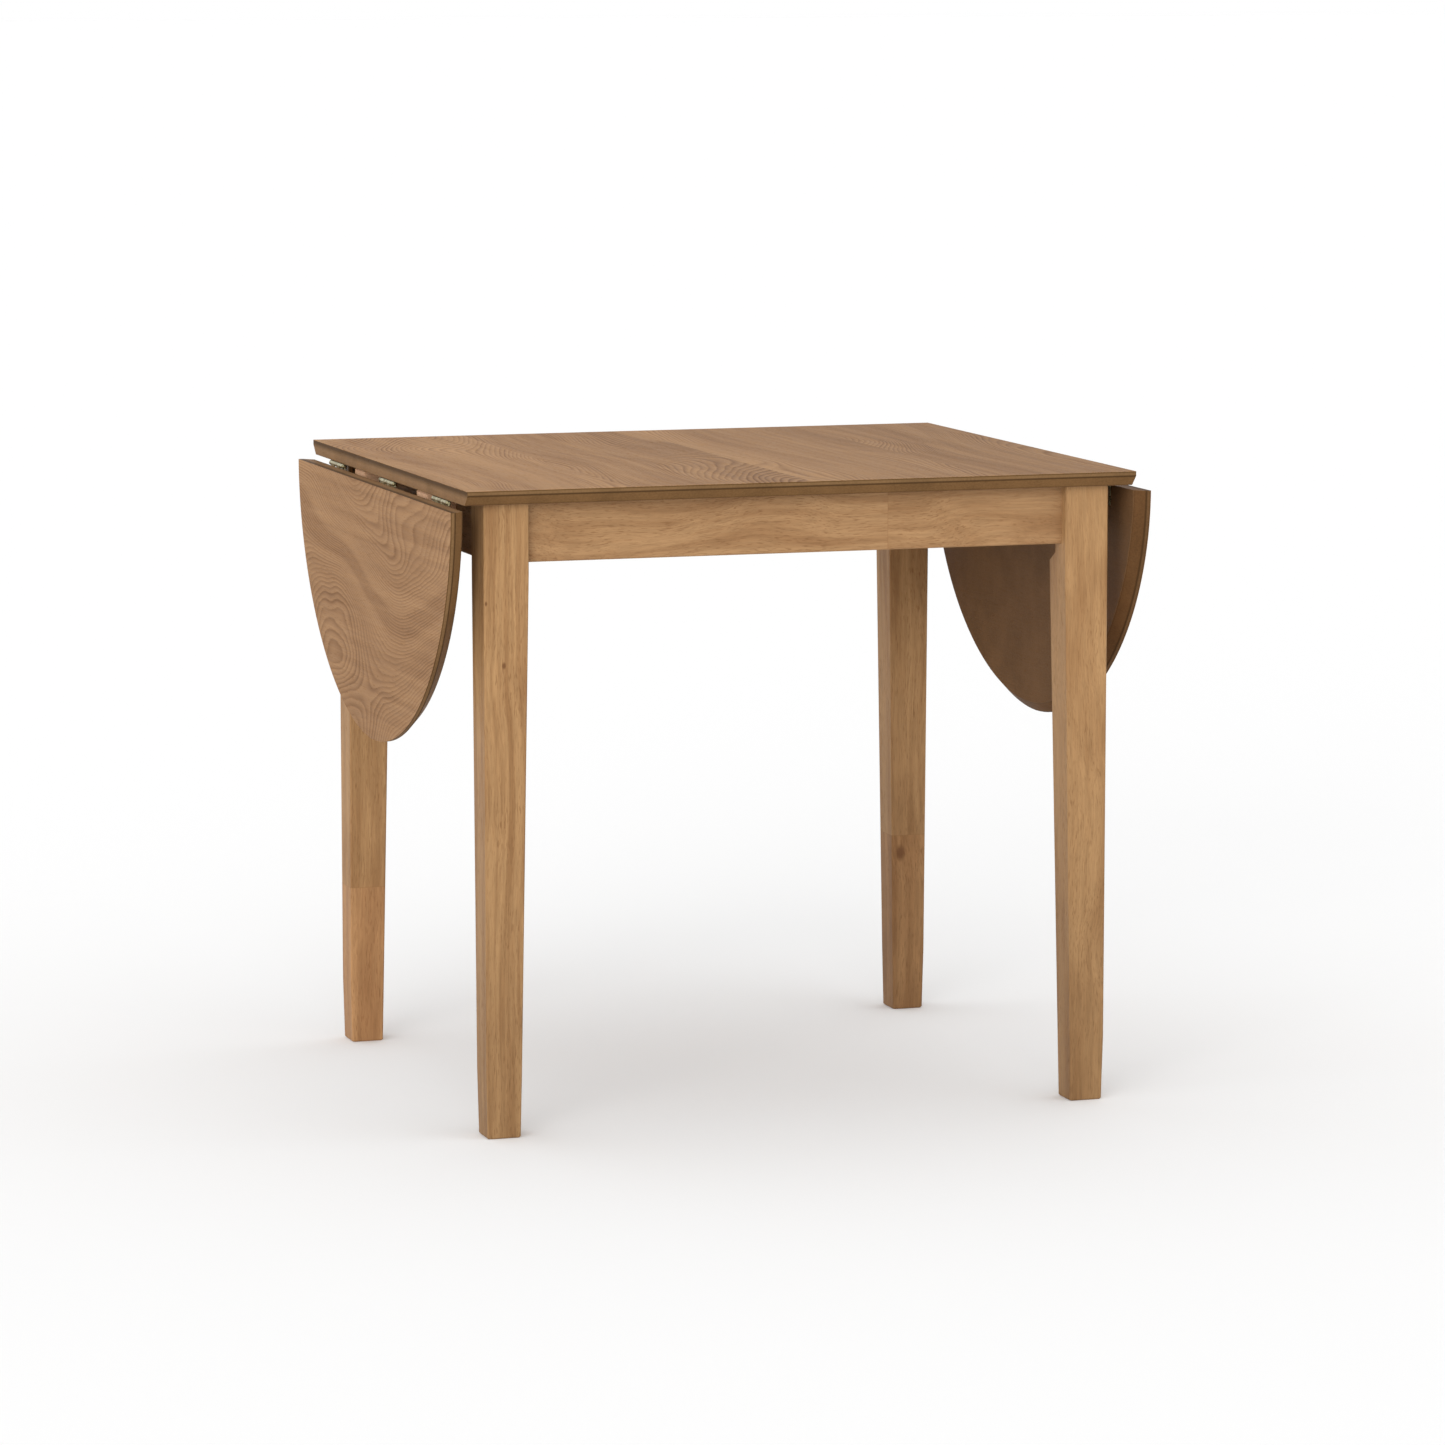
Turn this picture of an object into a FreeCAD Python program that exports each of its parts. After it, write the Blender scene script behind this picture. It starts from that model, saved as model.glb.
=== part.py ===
import FreeCAD, Part
import math
import os

# Drop leaf table: a fixed top on four tapered legs, two half-oval leaves on back-flap hinges,
# and two pull-out support runners under each leaf.
# Millimetres.  +X right along the long side, +Y to the rear, +Z up, origin on the floor at the centre.

# ---- driving dimensions -------------------------------------------------------------------------
TABLE_HEIGHT = 740.0
TOP_LENGTH = 800.0          # along X, between the two leaf joints
TOP_DEPTH = 700.0           # along Y
PANEL_T = 17.0              # veneered board of the top and the leaves
EDGE_BAND = 5.5             # upright band above the bevel of a free edge
EDGE_INSET = 12.0           # how far the bevel runs in at the underside

LEAF_REACH = 300.0
LEAF_END_IN = 1.0           # ends of the round edge inside the top's ends
LEAF_EXPONENT = 1.91        # 2 is a true ellipse, less is slightly leaner
LEAF_GAP = 1.0              # top edge to raised leaf
OUTLINE_STEPS = 12          # curve points from a corner to the middle of the round edge

LEG_SETBACK_X = 25.2        # from the top's edge to the leg's outer face
LEG_SETBACK_Y = 22.5
LEG_TOP = 52.5
LEG_FOOT = 40.5
LEG_EASE = 1.5
FOOT_TAPER_H = 75.0
FOOT_TAPER = 1.5
FOOT_CHAMFER = 1.5
LEG_FLAT = 32.5             # width left beside the cut-off inner corner

APRON_H = 68.0
APRON_T = 19.0
APRON_SETBACK = 13.1        # from the leg's outer face
APRON_EASE = 1.5

BLOCK_GAP = 18.0            # corner block to leg corner flat
BLOCK_T = 22.0
BLOCK_H = 58.0
BLOCK_DROP = 4.0
BOLT_R = 4.0
BOLT_IN_LEG = 32.0
BOLT_PAST_BLOCK = 14.0
BOLT_SPACING = 32.0
BOLT_HOLE_CLEAR = 0.4
WASHER_R = 8.5
WASHER_T = 1.6
NUT_AF = 13.0
NUT_T = 6.5

HINGE_LEN = 64.0
HINGE_TO_LEG = 8.0          # outer hinge to the leg's inner face
HINGE_AXIS_IN = 1.5         # axis inside the top's edge
KNUCKLE_R = 3.2
KNUCKLE_TOP_CLEAR = 0.4     # barrel below the underside of the top
KNUCKLES = 5
KNUCKLE_GAP = 0.5
KNUCKLE_EASE = 0.5          # chamfer at both ends of a knuckle
PIN_R = 1.5
PIN_CLEAR = 0.05
PIN_HEAD_R = 2.6
PIN_HEAD_T = 1.2
PLATE_T = 1.6
PLATE_W = 27.0
PLATE_RELIEF = 0.4          # leaf plate thinned where it swings under the top's edge
PLATE_NOTCH = 0.5
HINGE_SCREWS = ((-0.34, 12.0), (0.0, 20.0), (0.34, 12.0))    # share of the length, in from the axis

RUNNER_PLACE = 0.6          # share of the way from the centre to the outer hinges
RUNNER_W = 46.0
RUNNER_T = 20.0
RUNNER_FROM_CENTRE = 65.5   # inner end to the table's centre line, pushed home
RUNNER_END_IN = 4.5         # outer end inside the top's edge, pushed home
RUNNER_TOP_CLEAR = 0.8
RUNNER_CLEAR = 0.7
RUNNER_CHAMFER = 2.5
STOP_R = 4.0
STOP_OUT = 9.0
STOP_FROM_END = 15.0
GUIDE_W = 18.0
KEEPER_BACK = 76.0          # keeper strip behind the side apron's inner face
KEEPER_W = 25.0
KEEPER_T = 12.0

# wood screws: shank radius, length, head radius
HINGE_SCREW = (1.75, 14.0, 3.4)
GUIDE_SCREW = (2.25, 32.0, 4.2)
BLOCK_SCREW = (2.0, 23.0, 3.8)
KEEPER_SCREW = (2.0, 26.0, 3.8)
SCREW_ACCESS_R = 4.4        # recess that lets a corner block screw be driven

# ---- derived ------------------------------------------------------------------------------------
UNDER = TABLE_HEIGHT - PANEL_T
EDGE_X = TOP_LENGTH / 2
EDGE_Y = TOP_DEPTH / 2
LEAF_HALF_WIDTH = EDGE_Y - LEAF_END_IN
LEG_X = EDGE_X - LEG_SETBACK_X
LEG_Y = EDGE_Y - LEG_SETBACK_Y
APRON_BOTTOM = UNDER - APRON_H
APRON_IN = APRON_SETBACK + APRON_T
HINGE_X = EDGE_X - HINGE_AXIS_IN
HINGE_Z = UNDER - KNUCKLE_TOP_CLEAR - KNUCKLE_R
HINGE_SPREAD = LEG_Y - LEG_TOP - HINGE_TO_LEG - HINGE_LEN / 2
HINGE_Y = (-HINGE_SPREAD, 0.0, HINGE_SPREAD)
RUNNER_Y = HINGE_SPREAD * RUNNER_PLACE
RUNNER_LEN = EDGE_X - RUNNER_END_IN - RUNNER_FROM_CENTRE
KEEPER_X = LEG_X - APRON_IN - KEEPER_BACK
RUNNER_TOP = UNDER - RUNNER_TOP_CLEAR
RUNNER_BOTTOM = RUNNER_TOP - RUNNER_T
GUIDE_BOTTOM = RUNNER_BOTTOM - RUNNER_CLEAR
GUIDE_OFFSET = RUNNER_W / 2 + RUNNER_CLEAR
LEG_CUT = LEG_FLAT + LEG_TOP
BLOCK_NEAR = LEG_CUT + BLOCK_GAP * math.sqrt(2)
BLOCK_FAR = BLOCK_NEAR + BLOCK_T * math.sqrt(2)
BLOCK_TOP = UNDER - BLOCK_DROP
BLOCK_MID_Z = BLOCK_TOP - BLOCK_H / 2

SIDES = (("left", -1), ("right", 1))
ENDS = (("front", -1), ("rear", 1))
HINGE_NAMES = ("front", "middle", "rear")
V = FreeCAD.Vector


# ---- helpers ------------------------------------------------------------------------------------
def box(x0, x1, y0, y1, z0, z1):
    return Part.makeBox(x1 - x0, y1 - y0, z1 - z0, V(x0, y0, z0))


def polygon(points):
    return Part.makePolygon([V(*p) for p in points] + [V(*points[0])])


def prism(points, vector):
    return Part.Face(polygon(points)).extrude(V(*vector))


def joined(shapes):
    first, rest = shapes[0], shapes[1:]
    return first.multiFuse(rest).removeSplitter() if rest else first


def group(shapes):
    return Part.makeCompound(shapes)


def mirrored(shape, sx, sy):
    """The shape copied into the quarter of the table named by two signs."""
    if sx < 0:
        shape = shape.mirror(V(0, 0, 0), V(1, 0, 0))
    if sy < 0:
        shape = shape.mirror(V(0, 0, 0), V(0, 1, 0))
    return shape


def eased_section(u0, u1, v0, v1, z, ease):
    """Rectangle in leg coordinates (u, v measured in from the outer faces) with eased corners."""
    pts = [(u0 + ease, v0), (u1 - ease, v0), (u1, v0 + ease), (u1, v1 - ease),
           (u1 - ease, v1), (u0 + ease, v1), (u0, v1 - ease), (u0, v0 + ease)]
    return polygon([(LEG_X - u, LEG_Y - v, z) for u, v in pts])


def wood_screw(place, d, across, size):
    """Countersunk screw from place along d: the plain solid, and the same with its cross recess."""
    radius, length, head_r = size
    head_h = head_r - radius
    tip_h = radius * 2
    head = Part.makeCone(head_r, radius, head_h, place, d)
    shank = Part.makeCylinder(radius, length - tip_h - head_h, place + d * head_h, d)
    tip = Part.makeCone(radius, radius / 4, tip_h, place + d * (length - tip_h), d)
    plain = joined([head, shank, tip])
    return plain, plain.cut(cross_recess(place, d, across, head_r * 1.1, head_r * 0.3))


def cross_recess(place, d, across, size, depth):
    """Two crossed slots that cut the drive recess into a screw head."""
    other = d.cross(across)
    slots = []
    for along, side in ((across, other), (other, across)):
        start = place - along * size / 2 - side * size / 10 - d * 0.1
        corners = [start, start + along * size, start + along * size + side * size / 5,
                   start + side * size / 5]
        slots.append(Part.Face(Part.makePolygon(corners + [start])).extrude(d * (depth + 0.1)))
    return joined(slots)


# ---- top and leaves -----------------------------------------------------------------------------
def tabletop_blank():
    """Square joint edges left and right, banded and bevelled front and rear edges."""
    z1 = TABLE_HEIGHT - EDGE_BAND
    section = [(-EDGE_X, -EDGE_Y + EDGE_INSET, UNDER), (-EDGE_X, EDGE_Y - EDGE_INSET, UNDER),
               (-EDGE_X, EDGE_Y, z1), (-EDGE_X, EDGE_Y, TABLE_HEIGHT),
               (-EDGE_X, -EDGE_Y, TABLE_HEIGHT), (-EDGE_X, -EDGE_Y, z1)]
    return prism(section, (TOP_LENGTH, 0, 0))


def leaf_outline(half, reach, z):
    """Closed wire of a raised right-hand leaf: straight joint edge and a smooth half oval."""
    x0 = EDGE_X + LEAF_GAP
    power = 2.0 / LEAF_EXPONENT
    quarter = []
    for i in range(OUTLINE_STEPS + 1):
        t = math.pi / 2 * i / OUTLINE_STEPS
        quarter.append((reach * math.sin(t) ** power, half * abs(math.cos(t)) ** power))
    points = [V(x0 + x, y, z) for x, y in quarter]
    points += [V(x0 + x, -y, z) for x, y in reversed(quarter[:-1])]
    curve = Part.BSplineCurve()
    curve.interpolate(points)
    return Part.Wire([curve.toShape(), Part.makeLine(points[-1], points[0])])


def leaf_raised():
    z1 = TABLE_HEIGHT - EDGE_BAND
    band = Part.Face(leaf_outline(LEAF_HALF_WIDTH, LEAF_REACH, z1)).extrude(V(0, 0, EDGE_BAND))
    lower = leaf_outline(LEAF_HALF_WIDTH - EDGE_INSET, LEAF_REACH - EDGE_INSET, UNDER)
    upper = leaf_outline(LEAF_HALF_WIDTH, LEAF_REACH, z1)
    bevel = Part.makeLoft([lower, upper], True, True)
    return band.fuse(bevel)


def hung(shape):
    """Turn something built with the right-hand leaf raised into its hanging place."""
    turned = shape.copy()
    turned.rotate(V(HINGE_X, 0, HINGE_Z), V(0, 1, 0), 90)
    return turned


# ---- legs, aprons and corner blocks -------------------------------------------------------------
def leg():
    straight_end = APRON_BOTTOM - 12.0
    runout_end = straight_end - 13.0
    at_taper = LEG_FOOT + (LEG_TOP - LEG_FOOT) * FOOT_TAPER_H / straight_end
    c = FOOT_CHAMFER
    sections = [(UNDER, 0.0, LEG_TOP), (straight_end, 0.0, LEG_TOP), (FOOT_TAPER_H, 0.0, at_taper),
                (c, FOOT_TAPER, LEG_FOOT), (0.0, FOOT_TAPER + c, LEG_FOOT - c)]
    pieces = []
    for (z1, a1, b1), (z0, a0, b0) in zip(sections, sections[1:]):
        low = eased_section(a0, b0, a0, b0, z0, LEG_EASE)
        high = eased_section(a1, b1, a1, b1, z1, LEG_EASE)
        pieces.append(Part.makeLoft([low, high], True, True))
    body = joined(pieces)
    return body.cut(corner_cut(straight_end, runout_end))


def corner_cut(straight_end, runout_end):
    """The inner corner is taken off beside the aprons and runs out below them."""
    near, far, wide = LEG_CUT / 2, LEG_TOP + 1.0, LEG_TOP
    profile = [(near, UNDER + 1), (near, straight_end), (far, runout_end), (far + wide, runout_end),
               (far + wide, UNDER + 1)]
    points = [(LEG_X - s - wide, LEG_Y - s + wide, z) for s, z in profile]
    return prism(points, (2 * wide, -2 * wide, 0))


def front_apron():
    y1 = LEG_Y - APRON_SETBACK
    y0 = y1 - APRON_T
    e = APRON_EASE
    half = LEG_X - LEG_TOP
    section = [(-half, y0, UNDER), (-half, y0, APRON_BOTTOM + e), (-half, y0 + e, APRON_BOTTOM),
               (-half, y1 - e, APRON_BOTTOM), (-half, y1, APRON_BOTTOM + e), (-half, y1, UNDER)]
    return prism(section, (2 * half, 0, 0))


def side_apron():
    x1 = LEG_X - APRON_SETBACK
    x0 = x1 - APRON_T
    e = APRON_EASE
    half = LEG_Y - LEG_TOP
    section = [(x0, -half, UNDER), (x0, -half, APRON_BOTTOM + e), (x0 + e, -half, APRON_BOTTOM),
               (x1 - e, -half, APRON_BOTTOM), (x1, -half, APRON_BOTTOM + e), (x1, -half, UNDER)]
    rail = prism(section, (0, 2 * half, 0))
    for y in (-RUNNER_Y, RUNNER_Y):
        notch = box(x0 - 1, x1 + 1, y - GUIDE_OFFSET, y + GUIDE_OFFSET, GUIDE_BOTTOM, UNDER + 1)
        rail = rail.cut(notch)
    return rail


def corner_block():
    n, f = BLOCK_NEAR - APRON_IN, BLOCK_FAR - APRON_IN
    uv = [(APRON_IN, n), (n, APRON_IN), (f, APRON_IN), (APRON_IN, f)]
    points = [(LEG_X - u, LEG_Y - v, BLOCK_TOP - BLOCK_H) for u, v in uv]
    return prism(points, (0, 0, BLOCK_H))


def on_diagonal(distance, z):
    """Point on the leg's diagonal, the given u + v distance in from its outer corner."""
    return V(LEG_X - distance / 2, LEG_Y - distance / 2, z)


OUTWARD = V(1, 1, 0).normalize()


def bolt_heights():
    return (BLOCK_MID_Z - BOLT_SPACING / 2, BLOCK_MID_Z + BOLT_SPACING / 2)


def hanger_bolt(z):
    start = on_diagonal(BLOCK_FAR, z) - OUTWARD * BOLT_PAST_BLOCK
    length = (BLOCK_FAR - LEG_CUT) / math.sqrt(2) + BOLT_PAST_BLOCK + BOLT_IN_LEG
    point_h = BOLT_R * 1.2
    shaft = Part.makeCylinder(BOLT_R, length - point_h, start, OUTWARD)
    point = Part.makeCone(BOLT_R, 1.2, point_h, start + OUTWARD * (length - point_h), OUTWARD)
    return shaft.fuse(point)


def washer(z):
    start = on_diagonal(BLOCK_FAR, z) - OUTWARD * WASHER_T
    disc = Part.makeCylinder(WASHER_R, WASHER_T, start, OUTWARD)
    return disc.cut(Part.makeCylinder(BOLT_R + 0.3, WASHER_T, start, OUTWARD))


def nut(z):
    start = on_diagonal(BLOCK_FAR, z) - OUTWARD * (WASHER_T + NUT_T)
    r = NUT_AF / math.sqrt(3)
    across = OUTWARD.cross(V(0, 0, 1))
    corners = []
    for i in range(6):
        a = math.radians(60 * i)
        corners.append(start + across * r * math.cos(a) + V(0, 0, r * math.sin(a)))
    body = Part.Face(Part.makePolygon(corners + [corners[0]])).extrude(OUTWARD * NUT_T)
    cone_h = NUT_T + r
    rounding = Part.makeCone(r * 0.93, r * 0.93 + cone_h, cone_h, start, OUTWARD)
    body = body.common(rounding)
    return body.cut(Part.makeCylinder(BOLT_R, NUT_T, start, OUTWARD))


def block_screw_places():
    """(head centre, direction) of the four screws that hold a corner block to its two aprons."""
    mid = (BLOCK_NEAR + BLOCK_FAR) / 2 - APRON_IN
    head = APRON_IN + 9.0
    places = []
    for z in (BLOCK_MID_Z - 18.0, BLOCK_MID_Z + 18.0):
        places.append((V(LEG_X - mid, LEG_Y - head, z), V(0, 1, 0)))
        places.append((V(LEG_X - head, LEG_Y - mid, z), V(1, 0, 0)))
    return places


# ---- runners and their guides -------------------------------------------------------------------
def runner(y):
    x1 = EDGE_X - RUNNER_END_IN
    x0 = x1 - RUNNER_LEN
    c = RUNNER_CHAMFER
    section = [(x0, y - RUNNER_W / 2, RUNNER_BOTTOM), (x1, y - RUNNER_W / 2, RUNNER_BOTTOM),
               (x1, y - RUNNER_W / 2, RUNNER_TOP - c), (x1 - c, y - RUNNER_W / 2, RUNNER_TOP),
               (x0, y - RUNNER_W / 2, RUNNER_TOP)]
    return prism(section, (0, RUNNER_W, 0))


def runner_stop(y):
    x = EDGE_X - RUNNER_END_IN - RUNNER_LEN + STOP_FROM_END
    return Part.makeCylinder(STOP_R, STOP_OUT + RUNNER_T * 0.6, V(x, y, RUNNER_BOTTOM - STOP_OUT))


def guide(y, side):
    half = LEG_X - APRON_IN
    y0 = y + side * GUIDE_OFFSET
    y1 = y0 + side * GUIDE_W
    return box(-half, half, min(y0, y1), max(y0, y1), GUIDE_BOTTOM, UNDER)


def guide_screw_places(y, side):
    mid = y + side * (GUIDE_OFFSET + GUIDE_W / 2)
    span = LEG_X - APRON_IN - 30.0
    return [V(x, mid, GUIDE_BOTTOM) for x in (-span, 0.0, span)]


def keeper(y):
    half = GUIDE_OFFSET + GUIDE_W
    x0, x1 = KEEPER_X - KEEPER_W / 2, KEEPER_X + KEEPER_W / 2
    return box(x0, x1, y - half, y + half, GUIDE_BOTTOM - KEEPER_T, GUIDE_BOTTOM)


def keeper_screw_places(y):
    reach = GUIDE_OFFSET + GUIDE_W / 2
    return [V(KEEPER_X, y + side * reach, GUIDE_BOTTOM - KEEPER_T) for side in (-1, 1)]


# ---- hinges -------------------------------------------------------------------------------------
def knuckle_spans(y):
    pitch = HINGE_LEN / KNUCKLES
    low = y - HINGE_LEN / 2
    return [(low + pitch * i + KNUCKLE_GAP / 2, low + pitch * (i + 1) - KNUCKLE_GAP / 2)
            for i in range(KNUCKLES)]


def knuckle(y0, y1):
    axis = V(0, 1, 0)
    inner_r = KNUCKLE_R - KNUCKLE_EASE
    start, end = V(HINGE_X, y0, HINGE_Z), V(HINGE_X, y1, HINGE_Z)
    middle = Part.makeCylinder(KNUCKLE_R, y1 - y0 - 2 * KNUCKLE_EASE, start + axis * KNUCKLE_EASE, axis)
    low_end = Part.makeCone(inner_r, KNUCKLE_R, KNUCKLE_EASE, start, axis)
    high_end = Part.makeCone(inner_r, KNUCKLE_R, KNUCKLE_EASE, end, -axis)
    return joined([middle, low_end, high_end])


def hinge_half(y, sign, keep, bore):
    """One plate with its knuckles; sign +1 lies under the raised leaf, -1 under the top."""
    z0 = UNDER - PLATE_T
    far = HINGE_X + sign * PLATE_W
    ends = (min(HINGE_X, far), max(HINGE_X, far))
    plate = box(ends[0], ends[1], y - HINGE_LEN / 2 + 0.2, y + HINGE_LEN / 2 - 0.2, z0, UNDER)
    barrels = []
    clear = KNUCKLE_R + PLATE_NOTCH
    for i, (y0, y1) in enumerate(knuckle_spans(y)):
        if i % 2 == keep:
            barrels.append(knuckle(y0, y1))
        else:
            plate = plate.cut(box(HINGE_X - clear, HINGE_X + clear, y0 - KNUCKLE_GAP, y1 + KNUCKLE_GAP,
                                  z0 - 1, UNDER + 1))
    if sign > 0:
        plate = plate.cut(box(HINGE_X, EDGE_X + PLATE_RELIEF, y - HINGE_LEN, y + HINGE_LEN,
                              UNDER - PLATE_RELIEF, UNDER + 1))
    half = joined([plate] + barrels)
    return half.cut(Part.makeCylinder(bore, HINGE_LEN, V(HINGE_X, y - HINGE_LEN / 2, HINGE_Z),
                                      V(0, 1, 0)))


def hinge_pin(y):
    low = y - HINGE_LEN / 2 + KNUCKLE_GAP / 2
    length = HINGE_LEN - KNUCKLE_GAP
    axis = V(0, 1, 0)
    shaft = Part.makeCylinder(PIN_R, length, V(HINGE_X, low, HINGE_Z), axis)
    heads = [Part.makeCone(PIN_HEAD_R, PIN_R, PIN_HEAD_T, V(HINGE_X, low + length, HINGE_Z), axis),
             Part.makeCone(PIN_HEAD_R, PIN_R, PIN_HEAD_T, V(HINGE_X, low, HINGE_Z), -axis)]
    return joined([shaft] + heads)


def hinge_screw_places(y, sign):
    return [V(HINGE_X + sign * across, y + share * HINGE_LEN, UNDER - PLATE_T)
            for share, across in HINGE_SCREWS]


# ---- assembly -----------------------------------------------------------------------------------
nodes = {}
UP, RIGHT = V(0, 0, 1), V(1, 0, 0)
top_cuts = []

for side_name, sx in SIDES:
    fixed_screws, moving_screws, leaf = [], [], leaf_raised()
    for hinge_name, y in zip(HINGE_NAMES, HINGE_Y):
        fixed = hinge_half(y, -1, 0, PIN_R)
        moving = hinge_half(y, 1, 1, PIN_R + PIN_CLEAR)
        for place in hinge_screw_places(y, -1):
            plain, screw = wood_screw(place, UP, RIGHT, HINGE_SCREW)
            fixed = fixed.cut(plain)
            top_cuts.append(mirrored(plain, sx, 1))
            fixed_screws.append(mirrored(screw, sx, 1))
        for place in hinge_screw_places(y, 1):
            plain, screw = wood_screw(place, UP, RIGHT, HINGE_SCREW)
            moving = moving.cut(plain)
            leaf = leaf.cut(plain)
            moving_screws.append(mirrored(hung(screw), sx, 1))
        name = side_name + "_" + hinge_name
        nodes["hinge_fixed_plate_" + name] = mirrored(fixed, sx, 1)
        nodes["hinge_leaf_plate_" + name] = mirrored(hung(moving), sx, 1)
        nodes["hinge_pin_" + name] = mirrored(hinge_pin(y), sx, 1)
    nodes["leaf_" + side_name] = mirrored(hung(leaf), sx, 1)
    nodes["hinge_top_screws_" + side_name] = group(fixed_screws)
    nodes["hinge_leaf_screws_" + side_name] = group(moving_screws)

guide_screws = []
guides = {}
for end_name, sy in ENDS:
    for place_name, side in (("inner", -1), ("outer", 1)):
        batten = guide(RUNNER_Y, side)
        for place in guide_screw_places(RUNNER_Y, side):
            plain, screw = wood_screw(place, UP, RIGHT, GUIDE_SCREW)
            batten = batten.cut(plain)
            top_cuts.append(mirrored(plain, 1, sy))
            guide_screws.append(mirrored(screw, 1, sy))
        guides[(end_name, place_name)] = mirrored(batten, 1, sy)

leg_shape, block_shape = leg(), corner_block()
front_shape, side_shape = front_apron(), side_apron()
bolts = [hanger_bolt(z) for z in bolt_heights()]
for bolt, z in zip(bolts, bolt_heights()):
    leg_shape = leg_shape.cut(bolt)
    hole_start = on_diagonal(BLOCK_FAR, z) - OUTWARD
    hole = Part.makeCylinder(BOLT_R + BOLT_HOLE_CLEAR, BLOCK_T + 2, hole_start, OUTWARD)
    block_shape = block_shape.cut(hole)
block_screws = []
for place, d in block_screw_places():
    plain, screw = wood_screw(place, d, UP, BLOCK_SCREW)
    access = Part.makeCylinder(SCREW_ACCESS_R, BLOCK_T * 2, place, -d)
    block_shape = block_shape.cut(plain).cut(access)
    block_screws.append(screw)
    for sx in (-1, 1):
        front_shape = front_shape.cut(mirrored(plain, sx, 1))
    for sy in (-1, 1):
        side_shape = side_shape.cut(mirrored(plain, 1, sy))

keeper_screws, all_bolts, all_washers, all_nuts, all_block_screws = [], [], [], [], []
for side_name, sx in SIDES:
    nodes[side_name + "_apron"] = mirrored(side_shape, sx, 1)
    for end_name, sy in ENDS:
        name = end_name + "_" + side_name
        nodes["leg_" + name] = mirrored(leg_shape, sx, sy)
        nodes["corner_block_" + name] = mirrored(block_shape, sx, sy)
        all_bolts += [mirrored(bolt, sx, sy) for bolt in bolts]
        all_washers += [mirrored(washer(z), sx, sy) for z in bolt_heights()]
        all_nuts += [mirrored(nut(z), sx, sy) for z in bolt_heights()]
        all_block_screws += [mirrored(screw, sx, sy) for screw in block_screws]
        strip = keeper(RUNNER_Y)
        for place in keeper_screw_places(RUNNER_Y):
            plain, screw = wood_screw(place, UP, RIGHT, KEEPER_SCREW)
            strip = strip.cut(plain)
            for key in guides:
                if key[0] == end_name:
                    guides[key] = guides[key].cut(mirrored(plain, sx, sy))
            keeper_screws.append(mirrored(screw, sx, sy))
        stop = runner_stop(RUNNER_Y)
        nodes["runner_" + name] = mirrored(runner(RUNNER_Y).cut(stop), sx, sy)
        nodes["runner_stop_" + name] = mirrored(stop, sx, sy)
        nodes["keeper_" + name] = mirrored(strip, sx, sy)

for end_name, sy in ENDS:
    nodes[end_name + "_apron"] = mirrored(front_shape, 1, sy)
for (end_name, place_name), batten in guides.items():
    nodes["guide_" + end_name + "_" + place_name] = batten
nodes["tabletop"] = tabletop_blank().cut(group(top_cuts))
nodes["leg_hanger_bolts"] = group(all_bolts)
nodes["leg_bolt_washers"] = group(all_washers)
nodes["leg_bolt_nuts"] = group(all_nuts)
nodes["corner_block_screws"] = group(all_block_screws)
nodes["guide_screws"] = group(guide_screws)
nodes["keeper_screws"] = group(keeper_screws)

os.makedirs("parts", exist_ok=True)
for name, shape in nodes.items():
    shape.exportStep("parts/" + name + ".step")
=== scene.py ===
import math

import bpy
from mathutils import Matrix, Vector


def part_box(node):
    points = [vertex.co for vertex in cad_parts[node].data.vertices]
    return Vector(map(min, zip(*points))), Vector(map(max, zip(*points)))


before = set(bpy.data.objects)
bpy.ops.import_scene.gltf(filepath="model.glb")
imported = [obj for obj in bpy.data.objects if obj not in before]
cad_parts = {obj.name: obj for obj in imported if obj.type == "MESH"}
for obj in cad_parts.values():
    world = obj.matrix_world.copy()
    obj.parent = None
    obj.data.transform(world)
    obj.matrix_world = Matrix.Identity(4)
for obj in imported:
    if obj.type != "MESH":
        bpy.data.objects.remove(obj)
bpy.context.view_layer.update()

# Metres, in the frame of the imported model: +X right, +Y rear, +Z up, the floor at Z = 0.
TOP_LOW, TOP_HIGH = (Vector(corner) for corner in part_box("tabletop"))
LEAF_LOW, LEAF_HIGH = (Vector(corner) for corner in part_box("leaf_left"))
SKIN = 0.0004            # how far inside a board a face's own finish may reach
BAND = 0.0055            # upright edge band above the bevel
PAINTED_FOOT_SHADE_HEIGHT = 0.55  # where the painted shade at a leg's foot end fades out
STRIP_START = -0.43      # left of the top, where the first strip of veneer begins
STRIPS_PER_METRE = 4.6
VENEER_SPECULAR = 0.02   # a matt oiled face
BEVEL_FOOT = 0.0150      # below the face, where the bevel darkens towards the underside

# turns that bring a piece's own grain direction onto X
ALONG_X = (0.0, 0.0, 0.0)
ALONG_Y = (0.0, 0.0, -math.pi / 2)
ALONG_Z = (0.0, math.pi / 2, 0.0)

# directions in which a jointed piece's second length lies
RIGHT = (1.0, 0.0, 0.0)
DOWN = (0.0, 0.0, -1.0)

# marks per metre, along the grain and twice across it
OAK_FIBRE = (14.0, 420.0, 420.0)
OAK_STREAKS = (1.6, 75.0, 75.0)
OAK_PORES = (70.0, 1300.0, 1300.0)
TIMBER_SWAY = (5.0, 7.0, 7.0)
TIMBER_PATCHES = (6.0, 24.0, 24.0)
TIMBER_FIBRE = (22.0, 420.0, 420.0)
TIMBER_PORES = (85.0, 950.0, 950.0)
PORE_CROWDS = (9.0, 40.0, 40.0)
METAL_SCRATCHES = (600.0, 90.0, 600.0)

# places of the colours among a Mix node's sockets
FIRST_COLOUR, SECOND_COLOUR, MIXED_COLOUR = 6, 7, 2


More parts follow.
